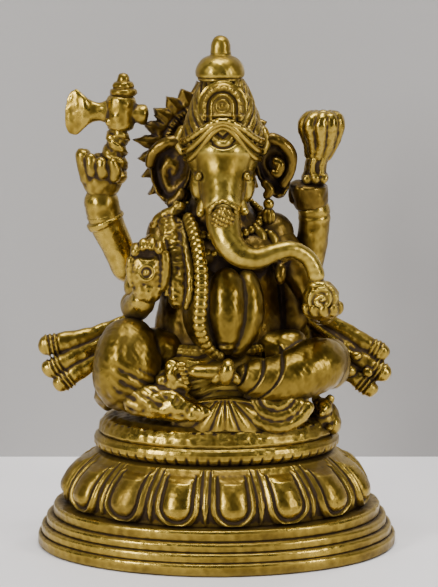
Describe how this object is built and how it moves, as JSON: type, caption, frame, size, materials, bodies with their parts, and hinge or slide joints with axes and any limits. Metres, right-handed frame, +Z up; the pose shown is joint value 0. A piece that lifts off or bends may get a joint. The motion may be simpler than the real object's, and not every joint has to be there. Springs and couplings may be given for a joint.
{
  "type": "seated elephant-headed deity figurine",
  "caption": "Small cast-brass elephant-headed seated figure with four arms, axe, bud, sweet and mouse, on a stepped oval lotus pedestal that is hollow underneath.",
  "frame": {"origin": "middle of the oval foot, on the surface that the figure stands on", "axes": "+Z up, +Y towards the figure's back, +X to the viewer's right, which is the figure's left"},
  "size_m": [0.07, 0.052, 0.0988],
  "materials": {
    "aged_brass": "cast brass, brown patina in the hollows, rubbed bright on the edges",
    "polished_brass": "smooth cast brass, worn to a soft shine"
  },
  "bodies": {
    "root": {"axe_finial": "aged_brass", "axe_head": "aged_brass", "axe_shaft": "aged_brass", "belly": "polished_brass", "crown_band": "aged_brass", "crown_cone": "aged_brass", "crown_finial": "aged_brass", "crown_knob": "polished_brass", "crown_plaque": "aged_brass", "dhoti_folds": "aged_brass", "earrings": "aged_brass", "eyes": "polished_brass", "foot_moulding": "aged_brass", "forehead_mark": "aged_brass", "front_left_forearm": "aged_brass", "front_left_hand": "aged_brass", "front_left_upper_arm": "aged_brass", "front_right_forearm": "aged_brass", "front_right_hand": "aged_brass", "front_right_upper_arm": "aged_brass", "garland": "aged_brass", "halo": "aged_brass", "head": "polished_brass", "hips": "aged_brass", "left_ear": "aged_brass", "left_foot": "aged_brass", "left_leg": "polished_brass", "left_sash_end": "aged_brass", "lotus_bud": "aged_brass", "lotus_petals": "aged_brass", "mouse": "aged_brass", "necklace": "aged_brass", "petal_drum": "aged_brass", "rear_left_cuff": "aged_brass", "rear_left_forearm": "aged_brass", "rear_left_hand": "aged_brass", "rear_left_upper_arm": "aged_brass", "rear_right_forearm": "aged_brass", "rear_right_hand": "aged_brass", "rear_right_upper_arm": "aged_brass", "right_armlet": "aged_brass", "right_ear": "aged_brass", "right_leg": "polished_brass", "right_sash_end": "aged_brass", "right_shin": "aged_brass", "sash_knot": "aged_brass", "seat_band": "aged_brass", "seat_cushion": "aged_brass", "shoulder_scarf": "aged_brass", "skirt_fan": "aged_brass", "sweet": "polished_brass", "torso": "aged_brass", "trunk": "polished_brass", "trunk_cap": "aged_brass", "tusks": "aged_brass", "waist_belt": "aged_brass"}
  },
  "joints": []
}
